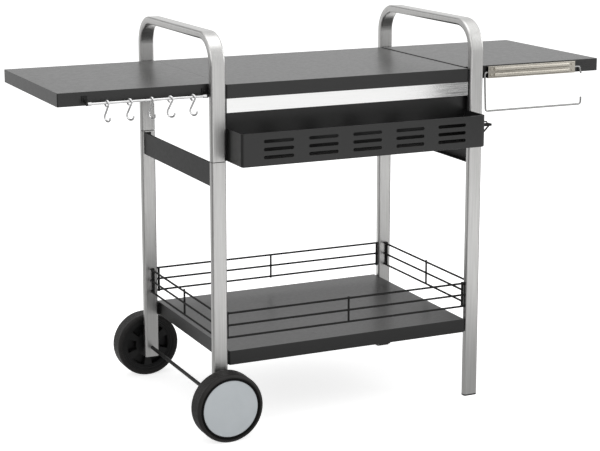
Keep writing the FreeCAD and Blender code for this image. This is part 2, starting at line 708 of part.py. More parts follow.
def s_hook(x, twist):
    """S shape of round wire: a nearly closed eye over the rail and an open bowl below."""
    slope = math.radians(HOOK_SHANK_ANGLE)
    eye, bowl = HOOK_EYE_R, HOOK_BOWL_R
    run = (HOOK_DROP - (eye + bowl) * math.sin(slope)) / math.cos(slope)
    bowl_u = (eye + bowl) * math.cos(slope) - run * math.sin(slope)

    def on_circle(centre_u, centre_w, radius, degrees):
        a = math.radians(degrees)
        return vec(centre_u + radius * math.cos(a), 0, centre_w + radius * math.sin(a))

    def arc(centre_u, centre_w, radius, a0, a1):
        middle = on_circle(centre_u, centre_w, radius, (a0 + a1) / 2)
        return Part.Arc(on_circle(centre_u, centre_w, radius, a0), middle,
                        on_circle(centre_u, centre_w, radius, a1)).toShape()

    shank_end = on_circle(0, 0, eye, -HOOK_SHANK_ANGLE)
    bowl_start = on_circle(bowl_u, -HOOK_DROP, bowl, 180 - HOOK_SHANK_ANGLE)
    tip_start = on_circle(bowl_u, -HOOK_DROP, bowl, HOOK_BOWL_END_ANGLE)
    lean = math.radians(HOOK_BOWL_END_ANGLE)
    tip_end = tip_start + vec(-math.sin(lean), 0, math.cos(lean)) * HOOK_TIP
    top, low = 90, 270
    path = Part.Wire([
        arc(0, 0, eye, HOOK_EYE_END_ANGLE, top),
        arc(0, 0, eye, top, -HOOK_SHANK_ANGLE),
        Part.LineSegment(shank_end, bowl_start).toShape(),
        arc(bowl_u, -HOOK_DROP, bowl, 180 - HOOK_SHANK_ANGLE, low),
        arc(bowl_u, -HOOK_DROP, bowl, low, HOOK_BOWL_END_ANGLE),
        Part.LineSegment(tip_start, tip_end).toShape(),
    ])
    wire = wire_along(path, HOOK_WIRE_D)
    ends = [Part.makeSphere(HOOK_WIRE_D / 2, p)
            for p in (on_circle(0, 0, eye, HOOK_EYE_END_ANGLE), tip_end)]
    hook = joined([wire] + ends)
    hook.rotate(vec(0, 0, 0), vec(0, 0, 1), twist - 90)
    hook.translate(vec(x, HOOK_RAIL_Y, HOOK_EYE_Z))
    return hook


# Towel holder

def towel_screw_seats():
    seats = []
    for x in (TOWEL_X0 + TOWEL_TAB / 2, TOWEL_X1 - TOWEL_TAB / 2):
        for side in (-1, 1):
            z = TOWEL_MIDDLE_Z + side * TOWEL_FLUTE_PITCH / 2
            seats.append((x, TOWEL_FACE_Y, z))
    return seats


def towel_bracket():
    """Channel over the wire, with two round flutes on its face."""
    z0 = TOWEL_MIDDLE_Z - TOWEL_PLATE_H / 2
    z1 = TOWEL_MIDDLE_Z + TOWEL_PLATE_H / 2
    channel = box(TOWEL_X0, TOWEL_FACE_Y, z0, TOWEL_X1, -SIDE_Y, z1)
    long_edges = [e for e in channel.Edges
                  if e.BoundBox.XLength > TOWEL_TAB and e.BoundBox.YMax < TOWEL_FACE_Y + PAST]
    channel = channel.makeFillet(TOWEL_SHEET, long_edges)
    flutes = []
    centre_y = TOWEL_FACE_Y - TOWEL_FLUTE_OUT + TOWEL_FLUTE_R
    for side in (-1, 1):
        z = TOWEL_MIDDLE_Z + side * TOWEL_FLUTE_PITCH / 2
        flute = cylinder((TOWEL_X0 + TOWEL_TAB, centre_y, z),
                         (TOWEL_X1 - TOWEL_TAB, centre_y, z), TOWEL_FLUTE_R)
        front = box(TOWEL_X0, TOWEL_FACE_Y - TOWEL_FLUTE_R, z0,
                    TOWEL_X1, TOWEL_FACE_Y + TOWEL_SHEET, z1)
        flutes.append(flute.common(front))
    hollow = box(TOWEL_X0 - PAST, TOWEL_FACE_Y + TOWEL_SHEET, z0 + TOWEL_SHEET,
                 TOWEL_X1 + PAST, -SIDE_Y + PAST, z1 - TOWEL_SHEET)
    holes = screw_holes(towel_screw_seats(), (0, 1, 0), SMALL_SCREW_D)
    return joined([channel.cut(hollow)] + flutes).cut(holes)


def towel_screws():
    return [screw(*seat, (0, 1, 0), SMALL_HEAD_D, SMALL_SCREW_D, TOWEL_GRIP)
            for seat in towel_screw_seats()]


def towel_bushes():
    """Blocks inside the bracket in which the wire turns."""
    found = []
    half = TOWEL_FLUTE_PITCH / 2 - SMALL_SCREW_D / 2 - TOWEL_BUSH_GAP
    inset = TOWEL_TAB + TOWEL_BUSH_IN
    for x in (TOWEL_X0 + inset, TOWEL_X1 - inset - TOWEL_BUSH_L):
        block = box(x, TOWEL_FACE_Y + TOWEL_SHEET, TOWEL_MIDDLE_Z - half,
                    x + TOWEL_BUSH_L, -SIDE_Y, TOWEL_MIDDLE_Z + half)
        bore = cylinder((x - PAST, TOWEL_AXIS_Y, TOWEL_MIDDLE_Z),
                        (x + TOWEL_BUSH_L + PAST, TOWEL_AXIS_Y, TOWEL_MIDDLE_Z),
                        TOWEL_WIRE_D / 2 + TOWEL_FIT)
        found.append(block.cut(bore))
    return found


def towel_wire():
    """One wire: stop, turning length inside the bracket, drop, long run and upturned end."""
    y, z = TOWEL_AXIS_Y, TOWEL_MIDDLE_Z
    left = TOWEL_X0 - TOWEL_OVERHANG_LEFT
    right = TOWEL_X1 + TOWEL_OVERHANG_RIGHT
    low = z - TOWEL_DROP
    points = [(right - TOWEL_STOP_LEAN, y, z - TOWEL_STOP), (right - TOWEL_BEND, y, z), (left, y, z),
              (left + TOWEL_LEAN, y, low), (right, y, low), (right, y, low + TOWEL_UPTURN)]
    return bent_wire(points, TOWEL_BEND, TOWEL_WIRE_D)


# Bottom shelf and its fences

def bottom_shelf():
    return pan(-UNIT_X, UNIT_X, -SHELF_Y, SHELF_Y, SHELF_Z, SHELF_EDGE)


def shelf_rib(x):
    """Strap under the shelf, from front to back."""
    return box(x - SHELF_RIB_W / 2, -SHELF_Y + SHEET, SHELF_UNDER_Z - SHELF_RIB_DROP,
               x + SHELF_RIB_W / 2, SHELF_Y - SHEET, SHELF_UNDER_Z)


def shelf_spacers():
    """Blocks between the ends of the shelf and the legs."""
    found = []
    for side_x in (-1, 1):
        for side_y in (-1, 1):
            found.append(box(side_x * UNIT_X, side_y * (SHELF_Y - SHEET_CORNER),
                             SHELF_UNDER_Z + SHEET, side_x * INNER_X, side_y * BETWEEN_Y,
                             SHELF_Z - SHEET_CORNER))
    return found


def fence(length):
    """Fence panel in the XZ plane, centred on X, with thick end posts and a middle post."""
    reach = length / 2 + FENCE_HOLE_DEPTH
    pieces = [cylinder((-reach, 0, z), (reach, 0, z), WIRE_D / 2) for z in FENCE_HEIGHTS]
    low, high = FENCE_HEIGHTS[0] - WIRE_D / 2, FENCE_HEIGHTS[-1] + WIRE_D / 2
    end = length / 2 - FENCE_END_D / 2 - FENCE_POST_GAP
    for x, diameter in ((-end, FENCE_END_D), (0, WIRE_D), (end, FENCE_END_D)):
        y = (WIRE_D + diameter) / 2 - FENCE_LAP
        pieces.append(cylinder((x, y, low), (x, y, high), diameter / 2))
    return joined(pieces)


def long_fence(side_y):
    panel = fence(2 * INNER_X)
    if side_y > 0:
        panel = mirrored_y(panel)
    panel.translate(vec(0, side_y * LEG_Y, 0))
    return panel


def short_fence(side_x):
    panel = fence(2 * BETWEEN_Y)
    panel.rotate(vec(0, 0, 0), vec(0, 0, 1), -90)
    panel.translate(vec(side_x * LEG_X, 0, 0))
    return panel


# Wheels, each built at the front and mirrored for the rear

def placed_wheel_piece(shape, side_y):
    return shape if side_y < 0 else mirrored_y(shape)


def tyre():
    profile = [(TYRE_BEAD_R, -WHEEL_IN_Y), (WHEEL_R, -WHEEL_IN_Y),
               (WHEEL_R, -WHEEL_OUT_Y), (TYRE_BEAD_R, -WHEEL_OUT_Y)]
    body = turned(profile, -LEG_X, AXLE_Z)
    shoulders = [e for e in body.Edges
                 if e.Curve.TypeId == "Part::GeomCircle" and abs(e.Curve.Radius - WHEEL_R) < 1e-6]
    body = body.makeFillet(TYRE_SHOULDER, shoulders)
    grooves = []
    pitch = (TYRE_W - 2 * TYRE_SHOULDER) / (TREAD_GROOVES + 1)
    for i in range(TREAD_GROOVES):
        y = -WHEEL_IN_Y - TYRE_SHOULDER - pitch * (i + 1)
        grooves.append(turned([(WHEEL_R - TREAD_GROOVE_DEPTH, y - TREAD_GROOVE_W / 2),
                               (WHEEL_R + PAST, y - TREAD_GROOVE_W / 2),
                               (WHEEL_R + PAST, y + TREAD_GROOVE_W / 2),
                               (WHEEL_R - TREAD_GROOVE_DEPTH, y + TREAD_GROOVE_W / 2)],
                              -LEG_X, AXLE_Z))
    return body.cut(grooves)


def pocket(angle):
    """Cutter for one pocket between two spokes, open to the inner side."""
    half = math.radians(RIM_POCKET_SPAN / 2)
    a = math.radians(angle)

    def at(radius, turn):
        return vec(-LEG_X + radius * math.cos(turn), 0, AXLE_Z + radius * math.sin(turn))

    inner, outer = RIM_POCKET_IN, RIM_POCKET_OUT
    edges = [
        Part.LineSegment(at(inner, a - half), at(outer, a - half)).toShape(),
        Part.Arc(at(outer, a - half), at(outer, a), at(outer, a + half)).toShape(),
        Part.LineSegment(at(outer, a + half), at(inner, a + half)).toShape(),
        Part.Arc(at(inner, a + half), at(inner, a), at(inner, a - half)).toShape(),
    ]
    face = Part.Face(Part.Wire(edges))
    face.translate(vec(0, -WHEEL_IN_Y + PAST, 0))
    return face.extrude(vec(0, -RIM_POCKET_DEPTH - PAST, 0))


def rim():
    """Barrel, web with pockets, and a hub that runs from washer to washer."""
    face_y = -WHEEL_IN_Y - RIM_SETBACK
    barrel = turned([(HUB_R, face_y), (TYRE_BEAD_R, face_y),
                     (TYRE_BEAD_R, -WHEEL_OUT_Y), (TYRE_BEAD_R - RIM_BARREL_T, -WHEEL_OUT_Y),
                     (TYRE_BEAD_R - RIM_BARREL_T, -WHEEL_OUT_Y + CAP_T + CAP_RIDGE),
                     (CAP_SKIRT_R, -WHEEL_OUT_Y + CAP_T + CAP_RIDGE),
                     (CAP_SKIRT_R, -WHEEL_IN_Y - RIM_POCKET_DEPTH - RIM_WEB_T),
                     (HUB_R, -WHEEL_IN_Y - RIM_POCKET_DEPTH - RIM_WEB_T)], -LEG_X, AXLE_Z)
    pockets = [pocket(360.0 / RIM_POCKETS * i) for i in range(RIM_POCKETS)]
    low, high = HUB_R + RIM_DISH_HUB, RIM_POCKET_OUT + RIM_DISH_EDGE
    recess = turned([(low, face_y + PAST), (high, face_y + PAST),
                     (high, face_y - RIM_DISH), (low, face_y - RIM_DISH)], -LEG_X, AXLE_Z)
    hub = cylinder((-LEG_X, -HUB_IN_Y, AXLE_Z), (-LEG_X, -HUB_OUT_Y, AXLE_Z), HUB_R)
    bore = cylinder((-LEG_X, 0, AXLE_Z), (-LEG_X, -WHEEL_OUT_Y, AXLE_Z), AXLE_D / 2 + AXLE_FIT)
    return joined([barrel.cut(pockets + [recess]), hub]).cut(bore)


def hub_cap():
    """Flat disc on the outer side, with a skirt that clips into the rim."""
    face_y = -WHEEL_OUT_Y
    disc = turned([(0, face_y), (CAP_R - CAP_EDGE, face_y), (CAP_R, face_y + CAP_EDGE),
                   (CAP_R, face_y + CAP_T), (0, face_y + CAP_T)], -LEG_X, AXLE_Z)
    skirt = turned([(CAP_SKIRT_R - CAP_SKIRT_T, face_y + CAP_T / 2), (CAP_SKIRT_R, face_y + CAP_T / 2),
                    (CAP_SKIRT_R, face_y + CAP_T + CAP_SKIRT_L),
                    (CAP_SKIRT_R - CAP_SKIRT_T, face_y + CAP_T + CAP_SKIRT_L)], -LEG_X, AXLE_Z)
    return joined([disc, skirt])


def axle():
    rod = cylinder((-LEG_X, -AXLE_END_Y, AXLE_Z), (-LEG_X, AXLE_END_Y, AXLE_Z), AXLE_D / 2)
    return rod.makeChamfer(AXLE_PROUD, [e for e in rod.Edges if e.Curve.TypeId == "Part::GeomCircle"])


def ring(y0, y1, radius):
    body = cylinder((-LEG_X, y0, AXLE_Z), (-LEG_X, y1, AXLE_Z), radius)
    return body.cut(cylinder((-LEG_X, y0 - PAST, AXLE_Z), (-LEG_X, y1 + PAST, AXLE_Z), AXLE_D / 2))


def axle_washers():
    inner = ring(-FRONT_Y - WASHER_T, -FRONT_Y, WASHER_R)
    start = -HUB_OUT_Y - RUNNING_GAP
    outer = ring(start - WASHER_T, start, WASHER_R)
    return [inner, outer, mirrored_y(inner), mirrored_y(outer)]


def axle_retainers():
    """Push-on retainers at the ends of the axle, under the hub caps."""
    start = -HUB_OUT_Y - RUNNING_GAP - WASHER_T
    retainer = ring(start - RETAINER_L, start, RETAINER_R)
    return [retainer, mirrored_y(retainer)]


def main():
    os.makedirs("parts", exist_ok=True)
    sides = (("left", -1), ("right", 1))
    ends = (("front", -1), ("rear", 1))

    for side, sx in sides:
        export(f"handle_{side}", handle(sx))
        export(f"side_brace_{side}", brace(sx))
        export(f"side_table_{side}", side_table(sx))
        export(f"side_table_spacers_{side}", *side_spacers(sx))
        export(f"shelf_fence_{side}", short_fence(sx))
        for end, sy in ends:
            export(f"leg_{end}_{side}", leg(sx, sy))
    export("leg_sleeves", *sleeves())
    export("foot_caps", foot_cap(-LEG_Y), foot_cap(LEG_Y))
    export("leg_end_plugs", end_plug(-LEG_Y), end_plug(LEG_Y))

    export("centre_table", centre_table())
    export("table_ribs", *[table_rib(sx * RIB_SPACING / 2) for side, sx in sides])
    screws = []
    for side, sx in sides:
        screws += [screw(*seat, direction) for seat, direction in side_spacer_screws(sx)]
    export("side_table_screws", *screws)
    export("front_rail", front_rail())
    export("rear_rail", rear_rail())
    export("end_spacers", end_spacer(-1), end_spacer(1))

    export("basket", basket())
    export("basket_screws", *[screw(*seat, (0, -1, 0)) for seat in basket_screw_seats()])
    export("bottle_opener", bottle_opener())
    export("opener_screws", *[arm_screw(seat, (-1, 0, 0), OPENER_GRIP) for seat in opener_screw_seats()])

    export("hook_rail", hook_rail())
    export("hook_rail_arms", *[hook_arm(x) for x in HOOK_ARM_PLACES])
    export("hook_rail_screws", *[arm_screw(seat, (0, 1, 0), SCREW_GRIP) for seat in hook_arm_seats()])
    for number, (share, twist) in enumerate(zip(HOOK_SHARES, HOOK_TWISTS), 1):
        export(f"s_hook_{number}", s_hook(HOOK_RAIL_INNER_X - HOOK_RAIL_LENGTH * share, twist))

    export("towel_bracket", towel_bracket())
    export("towel_screws", *towel_screws())
    export("towel_bushes", *towel_bushes())
    export("towel_wire", towel_wire())

    export("bottom_shelf", bottom_shelf())
    export("shelf_rib", shelf_rib(SHELF_RIB_X))
    export("shelf_spacers", *shelf_spacers())
    for end, sy in ends:
        export(f"shelf_fence_{end}", long_fence(sy))
        export(f"tyre_{end}", placed_wheel_piece(tyre(), sy))
        export(f"rim_{end}", placed_wheel_piece(rim(), sy))
        export(f"hub_cap_{end}", placed_wheel_piece(hub_cap(), sy))
    export("axle", axle())
    export("axle_washers", *axle_washers())
    export("axle_retainers", *axle_retainers())


main()
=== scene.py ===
import json
import math

import bmesh
import bpy
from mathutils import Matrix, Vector


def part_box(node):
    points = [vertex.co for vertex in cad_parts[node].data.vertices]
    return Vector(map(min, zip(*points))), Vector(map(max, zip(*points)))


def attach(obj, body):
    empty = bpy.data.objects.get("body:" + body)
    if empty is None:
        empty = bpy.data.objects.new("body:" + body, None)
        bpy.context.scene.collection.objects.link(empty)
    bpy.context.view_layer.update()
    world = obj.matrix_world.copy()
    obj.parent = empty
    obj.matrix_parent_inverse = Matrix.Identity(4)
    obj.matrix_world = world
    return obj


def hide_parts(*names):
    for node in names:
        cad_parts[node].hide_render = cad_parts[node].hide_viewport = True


# Looks of a grill cart with storage. Metres, Z up, the front is at -Y.

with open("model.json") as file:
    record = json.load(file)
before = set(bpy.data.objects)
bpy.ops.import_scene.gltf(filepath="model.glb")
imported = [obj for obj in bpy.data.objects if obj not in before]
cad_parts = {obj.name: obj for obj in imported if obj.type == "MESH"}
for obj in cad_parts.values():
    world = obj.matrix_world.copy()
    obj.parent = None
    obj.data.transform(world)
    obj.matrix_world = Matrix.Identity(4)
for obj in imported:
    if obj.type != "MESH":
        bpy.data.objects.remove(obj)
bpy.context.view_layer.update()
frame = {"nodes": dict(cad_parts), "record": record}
NODES = frame["nodes"]

# Camera at the photograph's viewing angle. Angles in degrees, lens and sensor in millimetres.
CAMERA_AT = (-1.938145, -4.080332, 1.518811)
CAMERA_YAW = 25.0669
CAMERA_PITCH = 11.0708
CAMERA_LENS = 100.5592
CAMERA_SENSOR = 36.0
CAMERA_SHIFT_Y = -0.1

# Studio. The floor's lifts make it white for the camera and pale in gloss, and light nothing.
WHITE = (1.0, 1.0, 1.0, 1.0)
FLOOR_HALF = 30.0
FLOOR_ALBEDO = 0.8
FLOOR_LIFT = 0.72
FLOOR_GLOSS_LIFT = 0.45
WORLD_DIFFUSE = 0.62
SCREEN_WHITE = 1.0
GLOSS_RAYS = ("Is Glossy Ray", "Is Transmission Ray")

# Soft boxes: place, width, height and power of each.
LAMP_AIM = (0.0, 0.0, 0.6)
LAMPS = {
    "top_box": ((0.0, -0.3, 3.6), 3.5, 2.5, 40.0),
    "left_box": ((-3.2, -2.2, 2.4), 2.5, 2.5, 22.0),
    "right_box": ((3.4, -1.6, 2.2), 2.5, 2.5, 40.0),
}

# Cards that only gloss shows, as a photographer's flags: lowest corner, highest corner and
# brightness of each.
CARDS = {
    "far_left_card": ((-7.0, 0.4, 0.004), (-0.5, 8.0, 0.004), 0.7),
    "left_card": ((-1.5, -2.6, 0.0), (-1.5, 0.5, 1.1), 0.3),
    "near_card": ((-1.7, -0.95, 0.004), (1.7, 0.35, 0.004), 0.5),
    "back_card": ((-4.5, 4.2, 2.3), (0.3, 4.2, 4.4), 0.3),
    "front_card": ((0.79, -1.2, 0.58), (1.3, -1.2, 0.84), 0.22),
    "right_card": ((1.5, -0.6, 0.0), (1.5, 1.8, 0.95), 0.3),
}

# Patterns: scale and detail of the noise in the colour, in the gloss and in the grain. The
# colour turns from dark to light between two places of its noise, spread is added to the
# roughness, and the grain is a bump of that strength and depth.
RAMP_PLACES = (0.35, 0.65)
BRUSHED_STRETCH = 0.02
PATTERNS = {
    "powder_coat": dict(
        colour=(7.0, 4.0), places=(0.2, 0.8), gloss=(90.0, 3.0), spread=(-0.015, 0.02),
        grain=(1500.0, 2.0), strength=0.12, depth=0.0003),
    "satin_steel": dict(
        colour=(420.0, 4.0), places=(0.3, 0.7), gloss=(700.0, 3.0), spread=(-0.05, 0.06),
        grain=(1600.0, 2.0), strength=0.1, depth=0.0002),
    "polished_steel": dict(
        colour=(90.0, 3.0), places=RAMP_PLACES, gloss=(260.0, 3.0), spread=(-0.04, 0.06),
        grain=(900.0, 2.0), strength=0.05, depth=0.0002),
    "moulded_plastic": dict(
        colour=(30.0, 3.0), places=RAMP_PLACES, gloss=(180.0, 3.0), spread=(-0.04, 0.05),
        grain=(1800.0, 2.0), strength=0.12, depth=0.0002),
    "smooth_plastic": dict(
        colour=(30.0, 3.0), places=RAMP_PLACES, gloss=(180.0, 3.0), spread=(-0.04, 0.05),
        grain=(1800.0, 2.0), strength=0.03, depth=0.0002),
    "rubber": dict(
        colour=(45.0, 4.0), places=RAMP_PLACES, gloss=(220.0, 3.0), spread=(-0.06, 0.06),
        grain=(1100.0, 3.0), strength=0.2, depth=0.0003),
}

# Finishes of the record's material slots and of the rims' lip. One number is a grey. What has
# no specular level is metal, and a brushed metal has its grain along an axis.
FINISHES = {
    "table_coat": dict(
        pattern="powder_coat", dark=(0.0105, 0.0105, 0.0103), light=(0.0125, 0.0125, 0.0123),
        roughness=0.32, specular=0.48),
    # The shelf has the tables' charcoal coat; its darker colour here is painted shade for the
    # shelf that lies low under the tables.
    "shelf_coat": dict(
        pattern="powder_coat", dark=(0.008, 0.0079, 0.0078), light=(0.0095, 0.0094, 0.0093),
        roughness=0.33, specular=0.44),
    "black_coat": dict(
        pattern="powder_coat", dark=(0.008, 0.008, 0.0078), light=(0.0095, 0.0095, 0.0092),
        roughness=0.4, specular=0.25),
    "wire_coat": dict(
        pattern="powder_coat", dark=(0.018, 0.0178, 0.0176), light=(0.022, 0.0218, 0.0215),
        roughness=0.6, specular=0.1),
    "post_steel": dict(
        pattern="satin_steel", dark=(0.475, 0.472, 0.464), light=(0.555, 0.552, 0.543),
        roughness=0.34, along="Z"),
    "rail_steel": dict(
        pattern="satin_steel", dark=(0.88, 0.88, 0.875), light=(0.93, 0.93, 0.925),
        roughness=0.15, along="X"),
    "bright_steel": dict(pattern="polished_steel", dark=0.6, light=0.7, roughness=0.12),
    "nickel": dict(
        pattern="satin_steel", dark=(0.40, 0.375, 0.33), light=(0.50, 0.475, 0.42),
        roughness=0.28, along="X"),
    "towel_wire_steel": dict(
        pattern="satin_steel", dark=(0.28, 0.28, 0.275), light=(0.35, 0.35, 0.344),
        roughness=0.24, along="X"),
    "black_plastic": dict(
        pattern="moulded_plastic", dark=0.004, light=0.007, roughness=0.5, specular=0.25),
    "screw_steel": dict(pattern="polished_steel", dark=0.32, light=0.4, roughness=0.25),
    "tyre_rubber": dict(
        pattern="rubber", dark=(0.0125, 0.0115, 0.011), light=(0.0185, 0.017, 0.0165),
        roughness=0.5, specular=0.3),
    "rim_plastic": dict(
        pattern="moulded_plastic", dark=0.005, light=0.008, roughness=0.45, specular=0.3),
    "rim_lip": dict(
        pattern="smooth_plastic", dark=0.004, light=0.006, roughness=0.3, specular=0.08),
    "hub_cap_plastic": dict(
        pattern="smooth_plastic", dark=(0.535, 0.57, 0.592), light=(0.555, 0.59, 0.612),
        roughness=0.42, specular=0.4),
    # Near-black steel: painted shade for the axle and the leg sleeves, which sit in shade under
    # the cart and in the posts' joint gaps.
    "axle_steel": dict(pattern="polished_steel", dark=0.02, light=0.035, roughness=0.4),
}

# Meshes. Angles in degrees.
SHARP_ANGLE = 38.0
TURN_STEPS = 128
ARC_STEPS = 6
MERGE_DISTANCE = 1e-6

# Tyres: ribs on the tread, round shoulders and a shallow dish on each side, for the rim's lip.
SHOULDER = 0.008
TREAD_RIBS = 9
RIB_GROOVE = 0.0006
RIB_DEPTH = 0.0008
SIDE_DISH = 0.0012
SIDE_DISH_WIDTH = 0.0038
SIDE_DISH_SLOPE = 0.0006

# Rims: inner face in steps, from each radius outwards at its depth, with pockets between the
# spokes. Stations are the places of its vertices, as shares of half a pocket or of a spoke.
RIM_STEPS = [(0.0735, 0.0025), (0.0675, 0.0045), (0.0635, 0.0065), (0.0, 0.0085)]
RIM_DRAFT = 0.0006
RIM_POCKETS = 6
POCKET_IN = 0.036
POCKET_OUT = 0.061
POCKET_SPAN = 38.0
POCKET_DRAFT = 1.5
POCKET_DEPTH = 0.026
POCKET_STATIONS = (-0.5, 0.0, 0.5)
SPOKE_STATIONS = (-0.9, 0.9)
HUB_RADIUS = 0.015
HUB_ROUND = 0.0015
AXLE_BORE = 0.0051

# Rims' dark outer lip, whose thin flange lies in the tyre's dish.
LIP = 0.0026
LIP_FLANGE = 0.0028
LIP_FLANGE_THICK = 0.001

# Hub caps, slightly domed.
CAP_THICK = 0.004
CAP_DOME = 0.0012
CAP_BEVEL = 0.0008
CAP_RINGS = 4

scene = bpy.context.scene


# Node graphs

class Graph:
    """The nodes of one material or world."""

    def __init__(self, tree):
        self.tree = tree
        self.tree.nodes.clear()

    def add(self, kind, **settings):
        node = self.tree.nodes.new(kind)
        for key, value in settings.items():
            setattr(node, key, value)
        return node

    def join(self, source, target):
        self.tree.links.new(source, target)

    def maths(self, operation, *values):
        """The operation on sockets or plain numbers."""
        node = self.add("ShaderNodeMath", operation=operation)
        for socket, value in zip(node.inputs, values):
            if hasattr(value, "is_output"):
                self.join(value, socket)
            else:
                socket.default_value = value
        return node.outputs[0]

    def mix(self, kind, *sources):
        """A node that mixes or adds shaders, given in the order of its inputs."""
        node = self.add(kind)
        for source, socket in zip(sources, node.inputs):
            self.join(source, socket)
        return node.outputs[0]


class Surface(Graph):
    """A material round one Principled shader, with its pattern in the object's own coordinates."""

    def __init__(self, name):
        self.material = new_material(name)
        super().__init__(self.material.node_tree)
        output = self.add("ShaderNodeOutputMaterial")
        self.shader = self.add("ShaderNodeBsdfPrincipled")
        self.join(self.shader.outputs["BSDF"], output.inputs["Surface"])
        self.place = self.add("ShaderNodeTexCoord").outputs["Object"]

    def noise(self, scale, detail, stretch):
        mapping = self.add("ShaderNodeMapping")
        mapping.inputs["Scale"].default_value = stretch
        self.join(self.place, mapping.inputs["Vector"])
        node = self.add("ShaderNodeTexNoise")
        node.inputs["Scale"].default_value = scale
        node.inputs["Detail"].default_value = detail
        self.join(mapping.outputs[0], node.inputs["Vector"])
        return node.outputs["Fac"]

    def ramp(self, source, low, high, places=RAMP_PLACES):
        """Greys or colours from low to high as the source goes over the two places."""
        node = self.add("ShaderNodeValToRGB")
        stops = node.color_ramp.elements
        for stop, place, value in zip(stops, places, (low, high)):
            stop.position = place
            stop.color = (*value, 1.0) if hasattr(value, "__len__") else (value, value, value, 1.0)
        self.join(source, node.inputs["Fac"])
        return node.outputs["Color"]

    def bump(self, height, strength, depth):
        node = self.add("ShaderNodeBump")
        node.inputs["Strength"].default_value = strength
        node.inputs["Distance"].default_value = depth
        self.join(height, node.inputs["Height"])
        self.join(node.outputs["Normal"], self.shader.inputs["Normal"])


def new_material(name):
    material = bpy.data.materials.new(name)
    material.use_nodes = True
    return material


def finish(name, pattern, dark, light, roughness, specular=None, along=None):
    """A material of that pattern, as the notes on FINISHES say."""
    look = PATTERNS[pattern]
    stretch = tuple(BRUSHED_STRETCH if axis == along else 1.0 for axis in "XYZ")
    s = Surface(name)
    if specular is None:
        s.shader.inputs["Metallic"].default_value = 1.0
    else:
        s.shader.inputs["Specular IOR Level"].default_value = specular
    colours = s.ramp(s.noise(*look["colour"], stretch), dark, light, look["places"])
    s.join(colours, s.shader.inputs["Base Color"])
    low, high = (roughness + change for change in look["spread"])
    s.join(s.ramp(s.noise(*look["gloss"], stretch), low, high), s.shader.inputs["Roughness"])
    s.bump(s.noise(*look["grain"], stretch), look["strength"], look["depth"])
    return s.material


MATERIALS = {name: finish(name, **values) for name, values in FINISHES.items()}


def dress_nodes():
    for entry in frame["record"]["subparts"]:
        mesh = NODES[entry["node"]].data
        mesh.materials.clear()
        mesh.materials.append(MATERIALS[entry["material_slot"]])


# Wheels, in the wheel's own coordinates: radius from the axle and depth from the inner face.

class Wheel:
    """Places of one wheel, read from its CAD nodes."""

    def __init__(self, end):
        self.end = end
        self.body = f"{end}_wheel"
        low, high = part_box(f"tyre_{end}")
        self.x = (low[0] + high[0]) / 2
        self.z = (low[2] + high[2]) / 2
        self.radius = (high[2] - low[2]) / 2
        self.width = high[1] - low[1]
        self.outward = -1 if end == "front" else 1
        self.inner_y = high[1] if end == "front" else low[1]
        cap_low, cap_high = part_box(f"hub_cap_{end}")
        self.cap_radius = (cap_high[2] - cap_low[2]) / 2
        rim_low, rim_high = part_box(f"rim_{end}")
        self.bead_radius = (rim_high[2] - rim_low[2]) / 2
        self.hub_depth = self.depth(rim_high[1] if end == "front" else rim_low[1])

    def depth(self, y):
        return (y - self.inner_y) * self.outward

    def point(self, radius, angle, depth):
        return (self.x + radius * math.cos(angle),
                self.inner_y + self.outward * depth,
                self.z + radius * math.sin(angle))


def finished(builder, name, material, body, slot, *nodes):
    """Makes the object of a mesh, turns its faces outwards and fastens it to its body."""
    bmesh.ops.recalc_face_normals(builder, faces=builder.faces[:])
    mesh = bpy.data.meshes.new(name)
    builder.to_mesh(mesh)
    builder.free()
    mesh.materials.append(material)
    mesh.shade_smooth()
    mesh.set_sharp_from_angle(angle=math.radians(SHARP_ANGLE))
    piece = bpy.data.objects.new(name, mesh)
    scene.collection.objects.link(piece)
    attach(piece, body)
    if nodes:
        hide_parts(*nodes)
    return piece


def lathe(wheel, profile, closed=True):
    """A mesh that turns a profile of (radius, depth) points round the axle."""
    builder = bmesh.new()
    rings = []
    for i in range(TURN_STEPS):
        angle = math.tau * i / TURN_STEPS
        rings.append([builder.verts.new(wheel.point(r, angle, d)) for r, d in profile])
    spans = len(profile) if closed else len(profile) - 1
    for i, ring in enumerate(rings):
        following = rings[(i + 1) % TURN_STEPS]
        for j in range(spans):
            k = (j + 1) % len(profile)
            builder.faces.new((ring[j], ring[k], following[k], following[j]))
    return builder


def arc(radius, depth, size, start, end):
    """Points of a round corner of that size about (radius, depth), angles in degrees."""
    points = []
    for i in range(ARC_STEPS + 1):
        a = math.radians(start + (end - start) * i / ARC_STEPS)
        points.append((radius + size * math.sin(a), depth + size * math.cos(a)))
    return points


def tread(radius, low, high):
    """Fine ribs round the tread, from depth low to high."""
    points = []
    pitch = (high - low) / TREAD_RIBS
    for i in range(TREAD_RIBS):
        start = low + pitch * i
        points += [(radius, start + RIB_GROOVE), (radius, start + pitch - RIB_GROOVE),
                   (radius - RIB_DEPTH, start + pitch - RIB_GROOVE / 2),
                   (radius - RIB_DEPTH, start + pitch)]
    return points[:-2]


def make_tyre(wheel):
    w, r, bead = wheel.width, wheel.radius, wheel.bead_radius
    wall = bead + SIDE_DISH_WIDTH
    inner = [(bead, SIDE_DISH), (wall, SIDE_DISH), (wall + SIDE_DISH_SLOPE, 0.0)]
    outer = [(radius, w - depth) for radius, depth in reversed(inner)]
    profile = (inner + arc(r - SHOULDER, SHOULDER, SHOULDER, 180.0, 90.0)
               + tread(r, SHOULDER, w - SHOULDER)
               + arc(r - SHOULDER, w - SHOULDER, SHOULDER, 90.0, 0.0) + outer)
    finished(lathe(wheel, profile), f"tyre_{wheel.end}_ribbed", MATERIALS["tyre_rubber"],
             wheel.body, "tyre_rubber", f"tyre_{wheel.end}")


